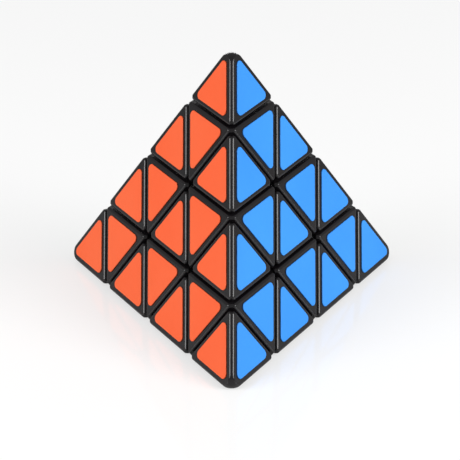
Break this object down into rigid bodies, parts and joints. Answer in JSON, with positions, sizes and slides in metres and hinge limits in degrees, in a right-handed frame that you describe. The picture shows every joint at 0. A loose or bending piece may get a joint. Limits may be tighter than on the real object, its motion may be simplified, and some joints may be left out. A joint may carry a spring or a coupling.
{
  "type": "pyramid twisty puzzle",
  "caption": "Tetrahedral twisty puzzle in four layers: black plastic pieces with rounded-triangle colour stickers turn about four corner axes on a hidden core.",
  "frame": {"origin": "centre of the core, which is the centroid of the puzzle", "axes": "+Z from the core to the top corner, square to the bottom face; the front corner points to -Y; +X to the viewer's right"},
  "size_m": [0.0942, 0.0822, 0.0776],
  "materials": {
    "black_plastic": "satin",
    "inner_plastic": "satin",
    "sticker_film": "satin",
    "steel": "satin"
  },
  "bodies": {
    "base": {"core": "inner_plastic", "axle_screws": "steel", "axle_springs": "steel", "axle_washers": "steel", "carrier_front": "inner_plastic", "carrier_left": "inner_plastic", "carrier_right": "inner_plastic", "centre_bottom_face": "black_plastic", "middle_edge_front_left": "black_plastic", "middle_edge_front_right": "black_plastic", "middle_edge_left_right": "black_plastic", "stickers_base": "sticker_film"},
    "upper_block": {"carrier_top": "inner_plastic", "middle_edge_top_front": "black_plastic", "middle_edge_top_left": "black_plastic", "middle_edge_top_right": "black_plastic", "centre_left_face": "black_plastic", "centre_right_face": "black_plastic", "centre_back_face": "black_plastic", "stickers_upper_block": "sticker_film"},
    "top_layer": {"corner_top": "black_plastic", "corner_base_top": "inner_plastic", "wing_top_front": "black_plastic", "wing_top_left": "black_plastic", "wing_top_right": "black_plastic", "stickers_top_layer": "sticker_film"},
    "front_layer": {"corner_front": "black_plastic", "corner_base_front": "inner_plastic", "wing_front_left": "black_plastic", "wing_front_right": "black_plastic", "stickers_front_layer": "sticker_film"},
    "front_wing": {"wing_front_top": "black_plastic", "stickers_front_wing": "sticker_film"},
    "left_layer": {"corner_left": "black_plastic", "corner_base_left": "inner_plastic", "wing_left_front": "black_plastic", "wing_left_right": "black_plastic", "stickers_left_layer": "sticker_film"},
    "left_wing": {"wing_left_top": "black_plastic", "stickers_left_wing": "sticker_film"},
    "right_layer": {"corner_right": "black_plastic", "corner_base_right": "inner_plastic", "wing_right_front": "black_plastic", "wing_right_left": "black_plastic", "stickers_right_layer": "sticker_film"},
    "right_wing": {"wing_right_top": "black_plastic", "stickers_right_wing": "sticker_film"},
    "top_tip": {"tip_top": "black_plastic", "tip_screw_top": "steel", "stickers_top_tip": "sticker_film"},
    "front_tip": {"tip_front": "black_plastic", "tip_screw_front": "steel", "stickers_front_tip": "sticker_film"},
    "left_tip": {"tip_left": "black_plastic", "tip_screw_left": "steel", "stickers_left_tip": "sticker_film"},
    "right_tip": {"tip_right": "black_plastic", "tip_screw_right": "steel", "stickers_right_tip": "sticker_film"}
  },
  "joints": [
    {"name": "deep_turn_top", "type": "hinge", "parent": "base", "child": "upper_block", "pos_m": [0, 0, 0], "axis": [0, 0, 1], "range_deg": [-120, 120]},
    {"name": "layer_turn_top", "type": "hinge", "parent": "upper_block", "child": "top_layer", "pos_m": [0, 0, 0], "axis": [0, 0, 1], "continuous": true},
    {"name": "tip_turn_top", "type": "hinge", "parent": "top_layer", "child": "top_tip", "pos_m": [0, 0, 0], "axis": [0, 0, 1], "continuous": true},
    {"name": "layer_turn_front", "type": "hinge", "parent": "base", "child": "front_layer", "pos_m": [0, 0, 0], "axis": [0, -0.9428, -0.3333], "continuous": true},
    {"name": "tip_turn_front", "type": "hinge", "parent": "front_layer", "child": "front_tip", "pos_m": [0, 0, 0], "axis": [0, -0.9428, -0.3333], "continuous": true},
    {"name": "layer_turn_left", "type": "hinge", "parent": "base", "child": "left_layer", "pos_m": [0, 0, 0], "axis": [-0.8165, 0.4714, -0.3333], "continuous": true},
    {"name": "tip_turn_left", "type": "hinge", "parent": "left_layer", "child": "left_tip", "pos_m": [0, 0, 0], "axis": [-0.8165, 0.4714, -0.3333], "continuous": true},
    {"name": "layer_turn_right", "type": "hinge", "parent": "base", "child": "right_layer", "pos_m": [0, 0, 0], "axis": [0.8165, 0.4714, -0.3333], "continuous": true},
    {"name": "tip_turn_right", "type": "hinge", "parent": "right_layer", "child": "right_tip", "pos_m": [0, 0, 0], "axis": [0.8165, 0.4714, -0.3333], "continuous": true},
    {"name": "wing_turn_front", "type": "hinge", "parent": "upper_block", "child": "front_wing", "pos_m": [0, 0, 0], "axis": [0, -0.9428, -0.3333], "continuous": true},
    {"name": "wing_turn_left", "type": "hinge", "parent": "upper_block", "child": "left_wing", "pos_m": [0, 0, 0], "axis": [-0.8165, 0.4714, -0.3333], "continuous": true},
    {"name": "wing_turn_right", "type": "hinge", "parent": "upper_block", "child": "right_wing", "pos_m": [0, 0, 0], "axis": [0.8165, 0.4714, -0.3333], "continuous": true}
  ],
  "couplings": [
    {"joint": "wing_turn_front", "follows": "layer_turn_front", "ratio": 1},
    {"joint": "wing_turn_left", "follows": "layer_turn_left", "ratio": 1},
    {"joint": "wing_turn_right", "follows": "layer_turn_right", "ratio": 1}
  ]
}
